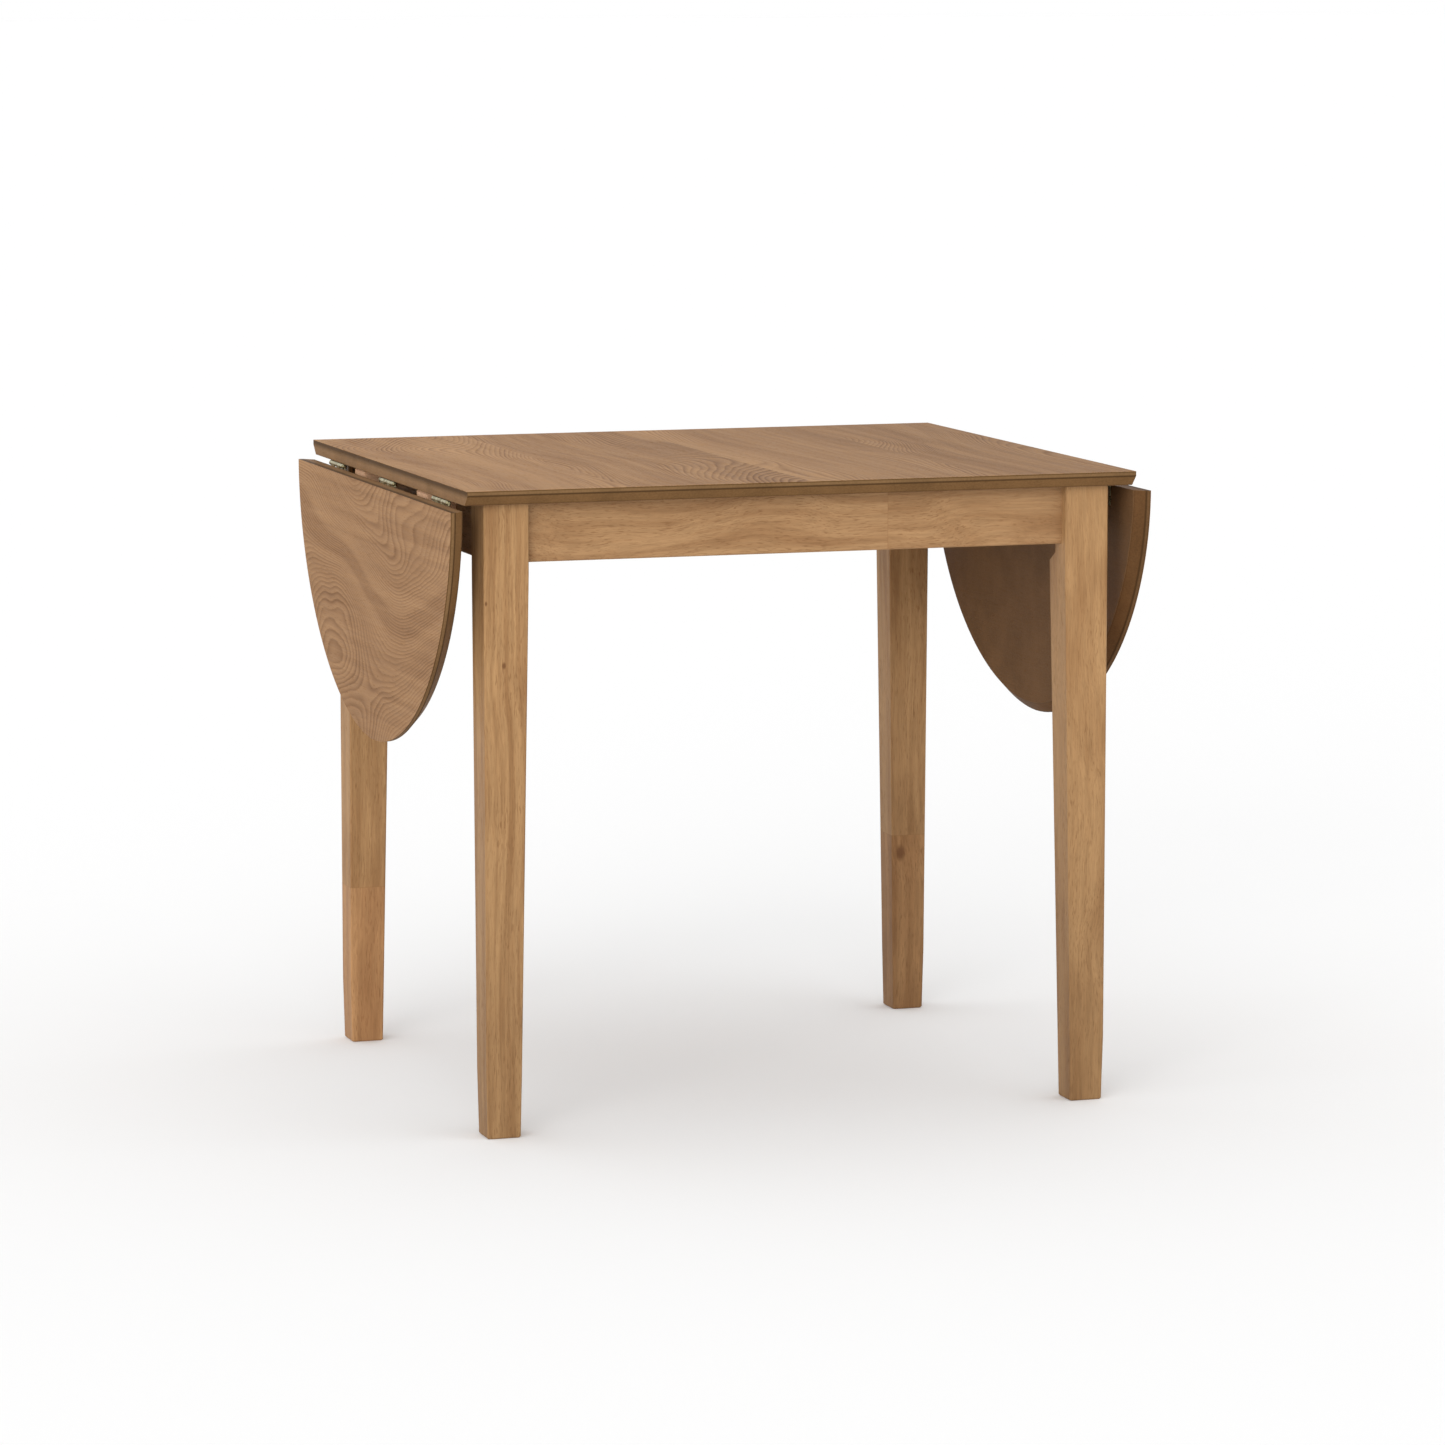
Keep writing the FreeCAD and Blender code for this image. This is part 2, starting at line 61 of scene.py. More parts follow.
# ---- colours ------------------------------------------------------------------------------------
def colour(red, green, blue):
    """An sRGB colour, 0 to 255, as the linear RGBA that a shader socket takes."""
    def linear(c):
        c /= 255.0
        return c / 12.92 if c <= 0.04045 else ((c + 0.055) / 1.055) ** 2.4
    return (linear(red), linear(green), linear(blue), 1.0)


WHITE = (1.0, 1.0, 1.0, 1.0)
VENEER_LIGHT = colour(175, 136, 98)
VENEER_DARK = colour(118, 82, 53)
EDGE_STAIN = colour(118, 90, 60)
# the edge stain with painted shade, for the right leaf's edge that faces away from the light
PAINTED_SHADE_EDGE_STAIN = colour(98, 71, 46)
GLUE_LINE = colour(66, 46, 26)
PAINT = colour(109, 80, 53)
LEG_LIGHT = colour(171, 133, 91)
LEG_DARK = colour(134, 96, 60)
APRON_LIGHT = colour(168, 131, 92)
APRON_DARK = colour(132, 94, 60)
FRAME_LIGHT = colour(205, 172, 130)
FRAME_DARK = colour(170, 130, 88)
RUNNER_LIGHT = colour(240, 194, 156)
RUNNER_DARK = colour(206, 158, 120)
KNOT = colour(96, 58, 32)
BRASS, DULL_BRASS = colour(176, 168, 132), colour(104, 92, 58)
ZINC, DULL_ZINC = colour(205, 207, 210), colour(140, 143, 148)
FLOOR_COLOUR = (0.89, 0.89, 0.89, 1.0)

# tints that a finish is multiplied by
BEVEL_TINT = (0.98, 0.92, 0.84, 1.0)
JOINT_TINT = (1.3, 1.3, 1.38, 1.0)
TOP_TINT = (1.0, 0.99, 0.93, 1.0)
# painted shade: the hanging leaves' veneer is made darker than the top's for the light on their upright
# faces
LEAF_PAINTED_SHADE_TINT = (0.9, 0.9, 0.9, 1.0)
OAK_PORE_TINT = (0.55, 0.5, 0.45, 1.0)
TIMBER_PORE_TINT = (0.72, 0.66, 0.6, 1.0)
REDDER = (1.0, 0.93, 0.92, 1.0)
BROWNER = (0.97, 0.91, 0.88, 1.0)


# ---- node helpers -------------------------------------------------------------------------------
def join(tree, value, socket):
    """Links value into the socket, or sets it there when it is a plain number, vector or colour."""
    if isinstance(value, bpy.types.NodeSocket):
        tree.links.new(value, socket)
    else:
        socket.default_value = value


def add(tree, kind, inputs, **settings):
    """A new shader node with its settings, and its input sockets filled by name."""
    node = tree.nodes.new("ShaderNode" + kind)
    for key, value in settings.items():
        setattr(node, key, value)
    for key, value in inputs.items():
        join(tree, value, node.inputs[key])
    return node


def calc(tree, operation, *values, clamp=False):
    """Arithmetic on numbers."""
    node = tree.nodes.new("ShaderNodeMath")
    node.operation = operation
    node.use_clamp = clamp
    for value, socket in zip(values, node.inputs):
        join(tree, value, socket)
    return node.outputs[0]


def vector_calc(tree, operation, *values):
    """Arithmetic on vectors; a dot product or a length comes out as a number."""
    node = tree.nodes.new("ShaderNodeVectorMath")
    node.operation = operation
    for value, socket in zip(values, node.inputs):
        join(tree, value, socket)
    return node.outputs["Value" if operation in ("DOT_PRODUCT", "LENGTH") else "Vector"]


def noise(tree, vector, scale, detail=2.0, roughness=0.5, distortion=0.0):
    node = add(tree, "TexNoise", {"Vector": vector, "Scale": scale, "Detail": detail,
                                  "Roughness": roughness, "Distortion": distortion})
    return node.outputs["Fac"]


def remap(tree, value, low, high, to_low=0.0, to_high=1.0):
    """value brought from low..high to to_low..to_high, smoothly and clamped."""
    node = add(tree, "MapRange", {"Value": value, "From Min": low, "From Max": high,
                                  "To Min": to_low, "To Max": to_high},
               interpolation_type="SMOOTHSTEP")
    return node.outputs["Result"]


def blend(tree, factor, first, second, how="MIX"):
    """The first colour where factor is 0, the second where it is 1."""
    node = tree.nodes.new("ShaderNodeMix")
    node.data_type = "RGBA"
    node.blend_type = how
    join(tree, factor, node.inputs["Factor"])
    join(tree, first, node.inputs[FIRST_COLOUR])
    join(tree, second, node.inputs[SECOND_COLOUR])
    return node.outputs[MIXED_COLOUR]


def multiply(tree, first, second):
    """Two colours multiplied."""
    return blend(tree, 1.0, first, second, "MULTIPLY")


def grey(tree, value):
    """The colour whose red, green and blue are all value."""
    node = tree.nodes.new("ShaderNodeCombineColor")
    for socket in node.inputs:
        join(tree, value, socket)
    return node.outputs[0]


def begin_group(name, inputs, outputs):
    """A new group with its sockets, and what its inner nodes read from and write to."""
    group = bpy.data.node_groups.new(name, "ShaderNodeTree")
    for label, kind, default in inputs:
        socket = group.interface.new_socket(name=label, in_out="INPUT", socket_type="NodeSocket" + kind)
        socket.default_value = default
    for label, kind in outputs:
        group.interface.new_socket(name=label, in_out="OUTPUT", socket_type="NodeSocket" + kind)
    return group, group.nodes.new("NodeGroupInput").outputs, group.nodes.new("NodeGroupOutput").inputs


def place(tree, group, inputs):
    """A group set into the tree; returns its outputs."""
    node = tree.nodes.new("ShaderNodeGroup")
    node.node_tree = group
    for key, value in inputs.items():
        join(tree, value, node.inputs[key])
    return node.outputs


def seeded(tree, given):
    """The group's vector moved to a place of its own for every seed."""
    step = add(tree, "CombineXYZ", {"X": given["Seed"], "Y": calc(tree, "MULTIPLY", given["Seed"], 1.7),
                                    "Z": calc(tree, "MULTIPLY", given["Seed"], -0.6)}).outputs[0]
    return vector_calc(tree, "ADD", given["Vector"], step)


def stretched(tree, vector, scales, detail=2.0, roughness=0.5):
    """Noise with its own number of marks per metre along each axis."""
    return noise(tree, vector_calc(tree, "MULTIPLY", vector, scales), 1.0, detail, roughness)


# ---- effects shared by several materials --------------------------------------------------------
def wood_figure_group():
    """Growth lines, broad tone, pores and fibre of timber whose grain runs along its vector's X."""
    tree, given, out = begin_group(
        "wood_figure",
        [("Vector", "Vector", (0, 0, 0)), ("Across", "Vector", (0, 1, 0)), ("Seed", "Float", 0.0),
         ("Lines per metre", "Float", 250.0), ("Figure size", "Float", 0.3), ("Wander", "Float", 0.05),
         ("Swirl", "Float", 0.01), ("Stretch", "Float", 0.25)],
        [("Lines", "Float"), ("Tone", "Float"), ("Pores", "Float"), ("Fibre", "Float")])
    spot = seeded(tree, given)
    squeeze = add(tree, "CombineXYZ", {"X": given["Stretch"], "Y": 1.0, "Z": 1.0}).outputs[0]
    slow = vector_calc(tree, "MULTIPLY", spot, squeeze)
    per_metre = calc(tree, "DIVIDE", 1.0, given["Figure size"])
    fibre = stretched(tree, spot, OAK_FIBRE, 3.0, 0.6)

    # depth below the bark: even across the board, bent by a large slow figure and a small one
    large = calc(tree, "SUBTRACT", noise(tree, slow, per_metre, 0.6, 0.4), 0.5)
    small = calc(tree, "SUBTRACT", noise(tree, slow, calc(tree, "MULTIPLY", per_metre, 4.5), 1.0), 0.5)
    depth = vector_calc(tree, "DOT_PRODUCT", given["Vector"], given["Across"])
    depth = calc(tree, "ADD", depth, calc(tree, "MULTIPLY", large, given["Wander"]))
    depth = calc(tree, "ADD", depth, calc(tree, "MULTIPLY", small, given["Swirl"]))

    years = calc(tree, "MULTIPLY", depth, given["Lines per metre"])
    years = calc(tree, "ADD", years, calc(tree, "MULTIPLY", calc(tree, "SUBTRACT", fibre, 0.5), 0.22))
    ring = calc(tree, "FRACT", years)
    line = calc(tree, "MAXIMUM", calc(tree, "POWER", ring, 2.2), remap(tree, ring, 0.0, 0.28, 1.0, 0.0))
    season = add(tree, "TexNoise", {"W": calc(tree, "MULTIPLY", years, 0.23), "Scale": 1.0,
                                    "Detail": 2.0}, noise_dimensions="1D").outputs["Fac"]
    patch = remap(tree, noise(tree, slow, 9.0, 1.0), 0.3, 0.7, 0.7, 1.0)
    strength = calc(tree, "MULTIPLY", remap(tree, season, 0.3, 0.7, 0.5, 1.0), patch)
    tree.links.new(calc(tree, "MULTIPLY", line, strength), out["Lines"])

    streak = stretched(tree, spot, OAK_STREAKS, 3.0, 0.6)
    era = add(tree, "TexNoise", {"W": calc(tree, "MULTIPLY", years, 0.07), "Scale": 1.0, "Detail": 2.0},
              noise_dimensions="1D").outputs["Fac"]
    tone = calc(tree, "ADD", calc(tree, "MULTIPLY", streak, 0.5), calc(tree, "MULTIPLY", era, 0.5))
    tree.links.new(tone, out["Tone"])

    cells = stretched(tree, spot, OAK_PORES, 1.0)
    open_wood = remap(tree, ring, 0.25, 0.9, 1.0, 0.35)
    tree.links.new(calc(tree, "MULTIPLY", remap(tree, cells, 0.58, 0.7), open_wood), out["Pores"])
    tree.links.new(fibre, out["Fibre"])
    return tree


def coloured_figure_group(figure):
    """The figure laid over a light, a dark and a pore colour, with a height for its bump."""
    tree, given, out = begin_group(
        "coloured_figure",
        [("Vector", "Vector", (0, 0, 0)), ("Across", "Vector", (0, 1, 0)), ("Seed", "Float", 0.0),
         ("Lines per metre", "Float", 250.0), ("Figure size", "Float", 0.3), ("Wander", "Float", 0.05),
         ("Swirl", "Float", 0.01), ("Stretch", "Float", 0.25), ("Light", "Color", (1, 1, 1, 1)),
         ("Dark", "Color", (0, 0, 0, 1)), ("Line strength", "Float", 0.5),
         ("Tone strength", "Float", 0.5), ("Pore strength", "Float", 0.4)],
        [("Color", "Color"), ("Roughness", "Float"), ("Height", "Float")])
    passed = ("Vector", "Across", "Seed", "Lines per metre", "Figure size", "Wander", "Swirl", "Stretch")
    marks = place(tree, figure, {name: given[name] for name in passed})
    tone = remap(tree, marks["Tone"], 0.34, 0.66, 0.0, given["Tone strength"])
    lines = calc(tree, "MULTIPLY", marks["Lines"], given["Line strength"])
    dark = calc(tree, "ADD", tone, lines, clamp=True)
    shade = blend(tree, dark, given["Light"], given["Dark"])
    fibre = remap(tree, marks["Fibre"], 0.3, 0.7, 0.95, 1.04)
    shade = multiply(tree, shade, grey(tree, fibre))
    pores = calc(tree, "MULTIPLY", marks["Pores"], given["Pore strength"])
    pore_colour = multiply(tree, given["Dark"], OAK_PORE_TINT)
    tree.links.new(blend(tree, pores, shade, pore_colour), out["Color"])
    rough = calc(tree, "ADD", remap(tree, marks["Fibre"], 0.3, 0.7, -0.03, 0.05),
                 calc(tree, "MULTIPLY", marks["Pores"], 0.2))
    tree.links.new(rough, out["Roughness"])
    height = calc(tree, "SUBTRACT", calc(tree, "MULTIPLY", marks["Fibre"], 0.4),
                  calc(tree, "ADD", marks["Pores"], calc(tree, "MULTIPLY", marks["Lines"], 0.12)))
    tree.links.new(height, out["Height"])
    return tree


def stain_group():
    """A flat brown stain with brush mottling, for edges and undersides."""
    tree, given, out = begin_group(
        "stained_board",
        [("Vector", "Vector", (0, 0, 0)), ("Color", "Color", (0.2, 0.1, 0.05, 1)),
         ("Mottle", "Float", 0.15)],
        [("Color", "Color"), ("Height", "Float")])
    spots = noise(tree, given["Vector"], 420.0, 3.0, 0.65)
    cloud = noise(tree, given["Vector"], 18.0, 3.0, 0.6)
    mix = calc(tree, "ADD", calc(tree, "MULTIPLY", spots, 0.5), calc(tree, "MULTIPLY", cloud, 0.5))
    low = calc(tree, "SUBTRACT", 1.0, given["Mottle"])
    high = calc(tree, "ADD", 1.0, given["Mottle"])
    factor = remap(tree, mix, 0.3, 0.7, low, high)
    tree.links.new(multiply(tree, given["Color"], grey(tree, factor)), out["Color"])
    tree.links.new(spots, out["Height"])
    return tree


def porous_timber_group():
    """Pale porous hardwood, grain along its vector's X: soft streaks, patches and pore dashes."""
    tree, given, out = begin_group(
        "porous_timber",
        [("Vector", "Vector", (0, 0, 0)), ("Seed", "Float", 0.0), ("Light", "Color", (1, 1, 1, 1)),
         ("Dark", "Color", (0, 0, 0, 1)), ("Streaks", "Float", 75.0), ("Streak strength", "Float", 0.5),
         ("Patch strength", "Float", 0.4), ("Pore strength", "Float", 0.5), ("Wave", "Float", 0.02)],
        [("Color", "Color"), ("Roughness", "Float"), ("Height", "Float")])
    spot = seeded(tree, given)
    sway = calc(tree, "SUBTRACT", stretched(tree, spot, TIMBER_SWAY, 1.0), 0.5)
    sway = calc(tree, "MULTIPLY", sway, given["Wave"])
    spot = vector_calc(tree, "ADD", spot, add(tree, "CombineXYZ", {"Y": sway, "Z": sway}).outputs[0])

    narrow = add(tree, "CombineXYZ", {"X": 1.6, "Y": given["Streaks"], "Z": given["Streaks"]}).outputs[0]
    streak = remap(tree, stretched(tree, spot, narrow, 4.0, 0.6), 0.36, 0.64)
    patch = remap(tree, stretched(tree, spot, TIMBER_PATCHES, 2.0), 0.42, 0.68)
    dark = calc(tree, "ADD", calc(tree, "MULTIPLY", streak, given["Streak strength"]),
                calc(tree, "MULTIPLY", patch, given["Patch strength"]), clamp=True)
    fibre = stretched(tree, spot, TIMBER_FIBRE, 3.0, 0.6)
    shade = multiply(tree, blend(tree, dark, given["Light"], given["Dark"]),
                     grey(tree, remap(tree, fibre, 0.3, 0.7, 0.9, 1.07)))
    crowd = remap(tree, stretched(tree, spot, PORE_CROWDS, 1.0), 0.3, 0.65, 0.35, 1.0)
    pores = remap(tree, stretched(tree, spot, TIMBER_PORES, 1.0), 0.54, 0.7)
    pores = calc(tree, "MULTIPLY", pores, crowd)
    pore_colour = multiply(tree, given["Dark"], TIMBER_PORE_TINT)
    shade = blend(tree, calc(tree, "MULTIPLY", pores, given["Pore strength"]), shade, pore_colour)
    tree.links.new(shade, out["Color"])
    tree.links.new(calc(tree, "ADD", remap(tree, fibre, 0.3, 0.7, -0.03, 0.05),
                        calc(tree, "MULTIPLY", pores, 0.15)), out["Roughness"])
    tree.links.new(calc(tree, "SUBTRACT", calc(tree, "MULTIPLY", fibre, 0.4), pores), out["Height"])
    return tree


def board_joint_group():
    """Where another board begins past a plane, and the fine seam along it."""
    tree, given, out = begin_group(
        "board_joint",
        [("Vector", "Vector", (0, 0, 0)), ("Direction", "Vector", (1, 0, 0)), ("Place", "Float", 0.0)],
        [("Beyond", "Float"), ("Seam", "Float")])
    past = calc(tree, "SUBTRACT", vector_calc(tree, "DOT_PRODUCT", given["Vector"], given["Direction"]),
                given["Place"])
    tree.links.new(calc(tree, "GREATER_THAN", past, 0.0), out["Beyond"])
    tree.links.new(remap(tree, calc(tree, "ABSOLUTE", past), 0.0, 0.0008, 0.4, 0.0), out["Seam"])
    return tree


def stained_edge_group(stain):
    """Stained board edge: an upright band, a glue line, then the bevel; a joint edge is all one."""
    tree, given, out = begin_group(
        "stained_edge",
        [("Vector", "Vector", (0, 0, 0)), ("Below", "Float", 0.0), ("Joint", "Float", 0.0),
         ("Color", "Color", (0.2, 0.1, 0.05, 1))],
        [("Color", "Color")])
    below = calc(tree, "MULTIPLY", given["Below"], remap(tree, given["Joint"], 0.0, 1.0, 1.0, 0.2))
    board = place(tree, stain, {"Vector": given["Vector"], "Color": given["Color"], "Mottle": 0.2})
    bevel = remap(tree, below, BAND - 0.0003, BAND + 0.0005)
    edge = multiply(tree, board["Color"], blend(tree, bevel, WHITE, BEVEL_TINT))
    edge = multiply(tree, edge, blend(tree, given["Joint"], WHITE, JOINT_TINT))
    arris = remap(tree, below, 0.0004, 0.0020, 0.85, 0.0)
    glue_line = calc(tree, "ABSOLUTE", calc(tree, "SUBTRACT", below, BAND))
    dark = calc(tree, "MAXIMUM", arris, remap(tree, glue_line, 0.0004, 0.0016, 0.8, 0.0))
    foot = remap(tree, below, BEVEL_FOOT, BEVEL_FOOT + 0.0015, 0.0, 0.4)
    dark = calc(tree, "MAXIMUM", dark, foot)
    tree.links.new(blend(tree, dark, edge, GLUE_LINE), out["Color"])
    return tree


VENEER = coloured_figure_group(wood_figure_group())
STAIN = stain_group()
EDGE = stained_edge_group(STAIN)
TIMBER = porous_timber_group()
JOINT = board_joint_group()


# ---- materials ----------------------------------------------------------------------------------
def begin_material(name, roughness=0.5, metallic=0.0, specular=0.4):
    """A material with one Principled shader, returned with its node tree and that shader."""
    material = bpy.data.materials.new(name)
    material.use_nodes = True
    tree = material.node_tree
    tree.nodes.clear()
    shader = tree.nodes.new("ShaderNodeBsdfPrincipled")
    shader.inputs["Roughness"].default_value = roughness
    shader.inputs["Metallic"].default_value = metallic
    shader.inputs["Specular IOR Level"].default_value = specular
    output = tree.nodes.new("ShaderNodeOutputMaterial")
    tree.links.new(shader.outputs["BSDF"], output.inputs["Surface"])
    return material, tree, shader


def object_point(tree):
    """The place on the piece, in metres."""
    return add(tree, "TexCoord", {}).outputs["Object"]


def turned(tree, point, rotation):
    """The point turned, so that the grain runs along its X."""
    return add(tree, "Mapping", {"Vector": point, "Rotation": rotation}).outputs[0]


def parts_of(tree, point):
    """The point's X, Y and Z by name."""
    return add(tree, "SeparateXYZ", {"Vector": point}).outputs


def bump(tree, shader, height, distance, strength=0.5):
    node = add(tree, "Bump", {"Height": height, "Distance": distance, "Strength": strength})
    tree.links.new(node.outputs["Normal"], shader.inputs["Normal"])


def solid_timber(name, rotation, seed, light, dark, streaks=0.45, fineness=75.0, patches=0.35,
                 pores=0.5, wave=0.02, joint=None, beyond_tone=WHITE, knots=(), painted_foot_shade=1.0,
                 roughness=0.5):
    """Solid wood. joint = (direction, place) starts another board with its own figure.

    knots are (centre, radius) pairs, and the foot factor is how much colour the foot end keeps under the
    painted shade that darkens the leg towards the floor.
    """
    material, tree, shader = begin_material(name, roughness, specular=0.12)
    point = object_point(tree)
    values = {"Vector": turned(tree, point, rotation), "Seed": seed, "Light": light, "Dark": dark,
              "Streaks": fineness, "Streak strength": streaks, "Patch strength": patches,
              "Pore strength": pores, "Wave": wave}
    if joint:
        meeting = place(tree, JOINT, {"Vector": point, "Direction": joint[0], "Place": joint[1]})
        values["Seed"] = calc(tree, "ADD", seed, calc(tree, "MULTIPLY", meeting["Beyond"], 3.37))
    timber = place(tree, TIMBER, values)
    shade = timber["Color"]
    if joint:
        shade = blend(tree, meeting["Beyond"], shade, multiply(tree, shade, beyond_tone))
        shade = blend(tree, meeting["Seam"], shade, dark)
    for centre, radius in knots:
        away = vector_calc(tree, "SUBTRACT", point, centre)
        away = vector_calc(tree, "MULTIPLY", away, (1.0, 1.0, 0.6))
        distance = vector_calc(tree, "LENGTH", away)
        shade = blend(tree, remap(tree, distance, radius * 0.3, radius, 0.75, 0.0), shade, KNOT)
    # painted shade: the colour darkens towards the floor, standing in for the light the foot end lacks
    if painted_foot_shade != 1.0:
        tone = remap(tree, parts_of(tree, point)["Z"], 0.0, PAINTED_FOOT_SHADE_HEIGHT, painted_foot_shade, 1.0)
        shade = multiply(tree, shade, grey(tree, tone))
    tree.links.new(shade, shader.inputs["Base Color"])
    tree.links.new(calc(tree, "ADD", timber["Roughness"], roughness), shader.inputs["Roughness"])
    bump(tree, shader, timber["Height"], 0.0003, 0.35)
    return material


def finish_board(tree, shader, point, veneer, face, below, is_joint, is_face, is_under, edge_stain):
    """Veneer on the face, stained edges and a painted underside."""
    edge = place(tree, EDGE, {"Vector": point, "Below": below, "Joint": is_joint, "Color": edge_stain})
    under = place(tree, STAIN, {"Vector": point, "Color": PAINT, "Mottle": 0.18})
    shade = blend(tree, is_face, edge["Color"], face)
    shade = blend(tree, is_under, shade, under["Color"])
    tree.links.new(shade, shader.inputs["Base Color"])
    tree.links.new(calc(tree, "ADD", veneer["Roughness"], 0.48), shader.inputs["Roughness"])
    bump(tree, shader, veneer["Height"], 0.0002, 0.3)


def top_veneer():
    """Oak veneer in several strips side by side, on the top."""
    material, tree, shader = begin_material("top_oak_veneer", specular=VENEER_SPECULAR)
    point = object_point(tree)
    axes = parts_of(tree, point)
    from_start = calc(tree, "SUBTRACT", axes["X"], STRIP_START)
    strip = calc(tree, "FLOOR", calc(tree, "MULTIPLY", from_start, STRIPS_PER_METRE))
    draw = add(tree, "TexWhiteNoise", {"W": strip}, noise_dimensions="1D").outputs["Value"]
    veneer = place(tree, VENEER, {
        "Vector": turned(tree, point, ALONG_Y), "Across": (0.0, 1.0, 0.0),
        "Seed": calc(tree, "MULTIPLY", draw, 9.0), "Lines per metre": 190.0, "Figure size": 0.22,
        "Wander": 0.36, "Swirl": 0.01, "Stretch": 0.4, "Light": VENEER_LIGHT, "Dark": VENEER_DARK,
        "Line strength": 0.8, "Tone strength": 0.4, "Pore strength": 0.25})
    # each strip's own tone, times a gradient from left to right that is partly darker veneer and partly
    # painted shade where the light falls off towards the right
    strip_tone_and_painted_falloff = calc(tree, "MULTIPLY", remap(tree, draw, 0.0, 1.0, 0.96, 1.03),
                      remap(tree, axes["X"], TOP_LOW.x, TOP_HIGH.x, 1.06, 0.84))
    face = multiply(tree, veneer["Color"], grey(tree, strip_tone_and_painted_falloff))
    face = multiply(tree, face, TOP_TINT)
    is_joint = calc(tree, "GREATER_THAN", calc(tree, "ABSOLUTE", axes["X"]), TOP_HIGH.x - SKIN)
    is_face = calc(tree, "GREATER_THAN", axes["Z"], TOP_HIGH.z - SKIN)
    is_under = calc(tree, "LESS_THAN", axes["Z"], TOP_LOW.z + SKIN)
    below = calc(tree, "SUBTRACT", TOP_HIGH.z, axes["Z"])
    finish_board(tree, shader, point, veneer, face, below, is_joint, is_face, is_under, EDGE_STAIN)
    return material


def leaf_veneer(name, side, seed, edge_stain):
    """A hanging leaf's veneer, one strip; side is -1 on the left and 1 on the right."""
    material, tree, shader = begin_material(name, specular=VENEER_SPECULAR)
    point = object_point(tree)
    axes = parts_of(tree, point)
    outward = calc(tree, "MULTIPLY", axes["X"], side)
    veneer = place(tree, VENEER, {
        "Vector": turned(tree, point, ALONG_Y), "Across": (0.0, 0.0, 1.0), "Seed": seed,
        "Lines per metre": 190.0, "Figure size": 0.2, "Wander": 0.42, "Swirl": 0.012, "Stretch": 0.5,
        "Light": VENEER_LIGHT, "Dark": VENEER_DARK, "Line strength": 0.65, "Tone strength": 0.42,
        "Pore strength": 0.25})
    # painted shade: the leaf's veneer is darkened for the light on its upright face
    face = multiply(tree, veneer["Color"], LEAF_PAINTED_SHADE_TINT)
    outer, inner = -LEAF_LOW.x, -LEAF_HIGH.x
    is_joint = calc(tree, "GREATER_THAN", axes["Z"], LEAF_HIGH.z - SKIN)
    is_face = calc(tree, "GREATER_THAN", outward, outer - SKIN)
    is_under = calc(tree, "LESS_THAN", outward, inner + SKIN)
    below = calc(tree, "SUBTRACT", outer, outward)
    finish_board(tree, shader, point, veneer, face, below, is_joint, is_face, is_under, edge_stain)
    return material


def worn_metal(name, bright, dull, roughness, scale):
    """Plated metal with a cloudy tarnish and fine scratches."""
    material, tree, shader = begin_material(name, roughness, metallic=1.0)
    point = object_point(tree)
    tarnish = noise(tree, point, scale, 4.0, 0.6)
    shade = blend(tree, remap(tree, tarnish, 0.4, 0.75), bright, dull)
    tree.links.new(shade, shader.inputs["Base Color"])
    tree.links.new(remap(tree, tarnish, 0.3, 0.7, roughness - 0.08, roughness + 0.15),
                   shader.inputs["Roughness"])
    scratches = stretched(tree, point, METAL_SCRATCHES, 3.0, 0.7)
    bump(tree, shader, scratches, 0.00008, 0.4)
    return material


def dress(node_name, material):
    """Gives every material slot of a CAD node this material."""
    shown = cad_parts[node_name]
    for slot in shown.material_slots:
        slot.material = material


def dress_boards():
    dress("tabletop", top_veneer())
    dress("leaf_left", leaf_veneer("left_leaf_oak_veneer", -1.0, 4.2, EDGE_STAIN))
    # the right leaf's edge stain is darkened with painted shade
    dress("leaf_right", leaf_veneer("right_leaf_oak_veneer", 1.0, 7.9, PAINTED_SHADE_EDGE_STAIN))


def dress_legs():
    """The rear legs are made of two lengths, joined 193 and 224 mm above the floor."""
    front_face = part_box("leg_front_left")[0][1]
    # each foot factor below paints shade onto that leg, darker towards the floor
    legs = {
        "front_left": dict(seed=1.3, streaks=0.62, fineness=125.0, patches=0.15, painted_foot_shade=0.8,
                           knots=(((-0.3521, front_face, 0.5405), 0.0032),
                                  ((-0.3727, front_face, 0.6112), 0.0022))),
        "front_right": dict(seed=5.1, streaks=0.25, patches=0.5, wave=0.05, painted_foot_shade=0.75),
        "rear_left": dict(seed=2.7, joint=(DOWN, -0.193), beyond_tone=REDDER),
        "rear_right": dict(seed=8.4, joint=(DOWN, -0.224), beyond_tone=BROWNER, painted_foot_shade=0.65,
                           knots=(((0.342, 0.281, 0.2015), 0.009),))}
    for name, look in legs.items():
        wood = solid_timber("leg_wood_" + name, ALONG_Z, light=LEG_LIGHT, dark=LEG_DARK, **look)
        dress("leg_" + name, wood)


def dress_aprons():
    """The long aprons are made of two lengths, joined right or left of the middle."""
    aprons = {
        "front": dict(rotation=ALONG_X, seed=3.3, patches=0.25, wave=0.06, joint=(RIGHT, 0.109)),
        "rear": dict(rotation=ALONG_X, seed=6.1, wave=0.04, joint=(RIGHT, -0.14)),
        "left": dict(rotation=ALONG_Y, seed=9.2),
        "right": dict(rotation=ALONG_Y, seed=0.7)}
    for name, look in aprons.items():
        wood = solid_timber(name + "_apron_wood", light=APRON_LIGHT, dark=APRON_DARK, **look)
        dress(name + "_apron", wood)


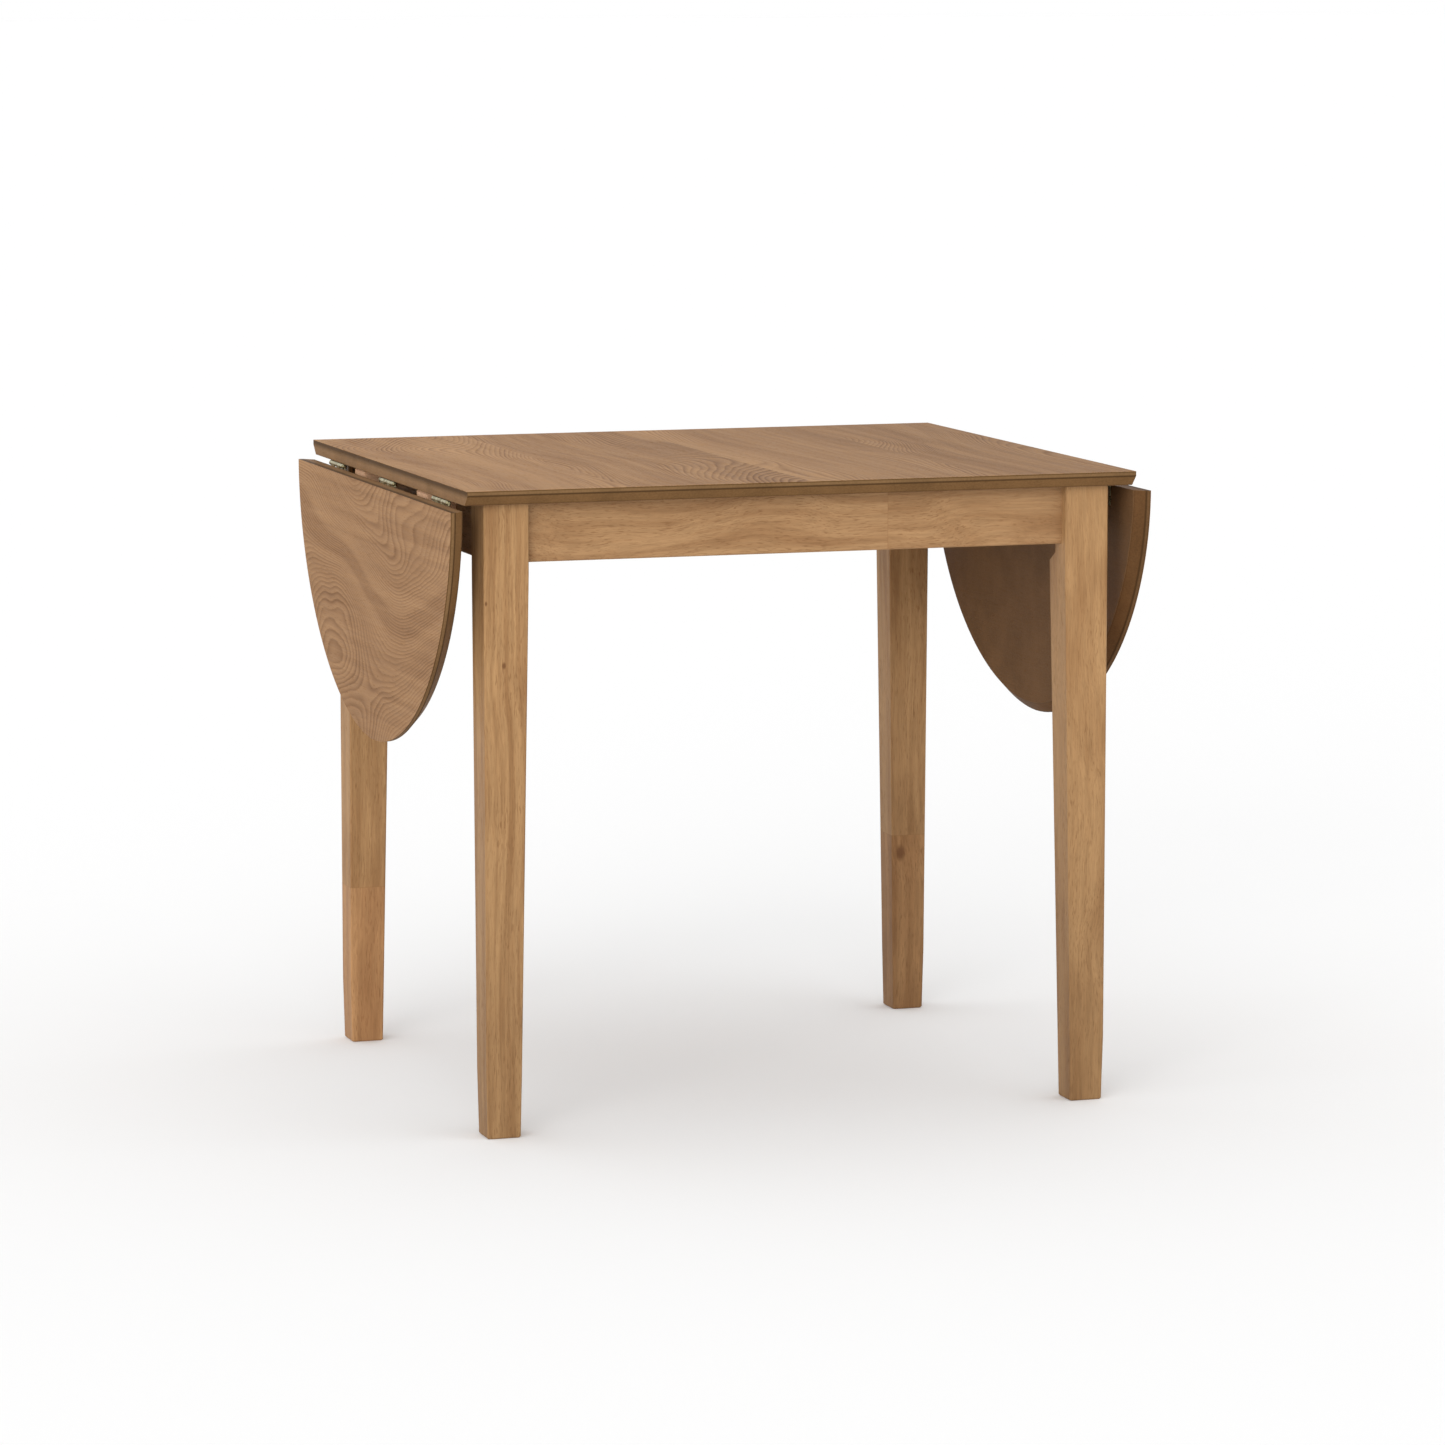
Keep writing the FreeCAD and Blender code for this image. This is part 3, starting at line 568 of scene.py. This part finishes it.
def dress_small_parts():
    plain = solid_timber("frame_timber", ALONG_X, 1.9, FRAME_LIGHT, FRAME_DARK, pores=0.25,
                         roughness=0.6)
    bright = solid_timber("runner_timber", ALONG_X, 4.4, RUNNER_LIGHT, RUNNER_DARK, pores=0.3,
                          roughness=0.55)
    brass = worn_metal("hinge_brass", BRASS, DULL_BRASS, 0.3, 160.0)
    zinc = worn_metal("zinc_plate", ZINC, DULL_ZINC, 0.4, 220.0)
    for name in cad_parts:
        if name.startswith("hinge_"):
            dress(name, brass)
        elif name.endswith(("_screws", "_bolts", "_washers", "_nuts")):
            dress(name, zinc)
        elif name.startswith("runner_"):
            dress(name, bright)
        elif name.startswith(("corner_block_", "guide_", "keeper_")):
            dress(name, plain)


# ---- floor, light and camera --------------------------------------------------------------------
FLOOR_SIZE = 160.0
# name, direction of the light, strength, width of the sun in degrees
SUNS = (("key", (0.45, 0.87, -0.50), 0.60, 45.0),
        ("fill", (0.62, 0.78, -0.12), 0.95, 35.0))
CAMERA_PLACE = (-2.1242, -6.5441, 1.3592)
CAMERA_AZIMUTH = 0.3156  # radians to the right of +Y
CAMERA_PITCH = 0.1358    # radians downwards
LENS_MM = 144.67
SENSOR_MM = 36.0
FAR_CLIP = 300.0


def floor():
    """A wide pale floor, which is not part of the object."""
    bpy.ops.object.select_all(action="DESELECT")
    bpy.ops.mesh.primitive_plane_add(size=FLOOR_SIZE, location=(0.0, 0.0, 0.0))
    ground = bpy.context.object
    ground.name = "floor"
    material, tree, shader = begin_material("pale_floor", 0.9, specular=0.1)
    shader.inputs["Base Color"].default_value = FLOOR_COLOUR
    ground.data.materials.append(material)


def lights():
    """A white room with two broad suns."""
    world = bpy.data.worlds.new("soft_white_room")
    world.use_nodes = True
    back = world.node_tree.nodes["Background"]
    back.inputs["Color"].default_value = WHITE
    back.inputs["Strength"].default_value = 1.0
    bpy.context.scene.world = world
    for name, towards, strength, spread in SUNS:
        lamp = bpy.data.lights.new(name, "SUN")
        lamp.energy = strength
        lamp.angle = math.radians(spread)
        shown = bpy.data.objects.new(name, lamp)
        shown.rotation_euler = Vector(towards).to_track_quat("-Z", "Y").to_euler()
        bpy.context.collection.objects.link(shown)


def camera():
    data = bpy.data.cameras.new("camera")
    data.sensor_width = SENSOR_MM
    data.lens = LENS_MM
    data.clip_end = FAR_CLIP
    data.dof.use_dof = False
    eye = bpy.data.objects.new("camera", data)
    eye.location = CAMERA_PLACE
    level = math.cos(CAMERA_PITCH)
    forward = Vector((math.sin(CAMERA_AZIMUTH) * level, math.cos(CAMERA_AZIMUTH) * level,
                      -math.sin(CAMERA_PITCH)))
    eye.rotation_euler = forward.to_track_quat("-Z", "Y").to_euler()
    bpy.context.collection.objects.link(eye)
    bpy.context.scene.camera = eye


dress_boards()
dress_legs()
dress_aprons()
dress_small_parts()
floor()
lights()
camera()
bpy.context.scene.view_settings.view_transform = "Standard"
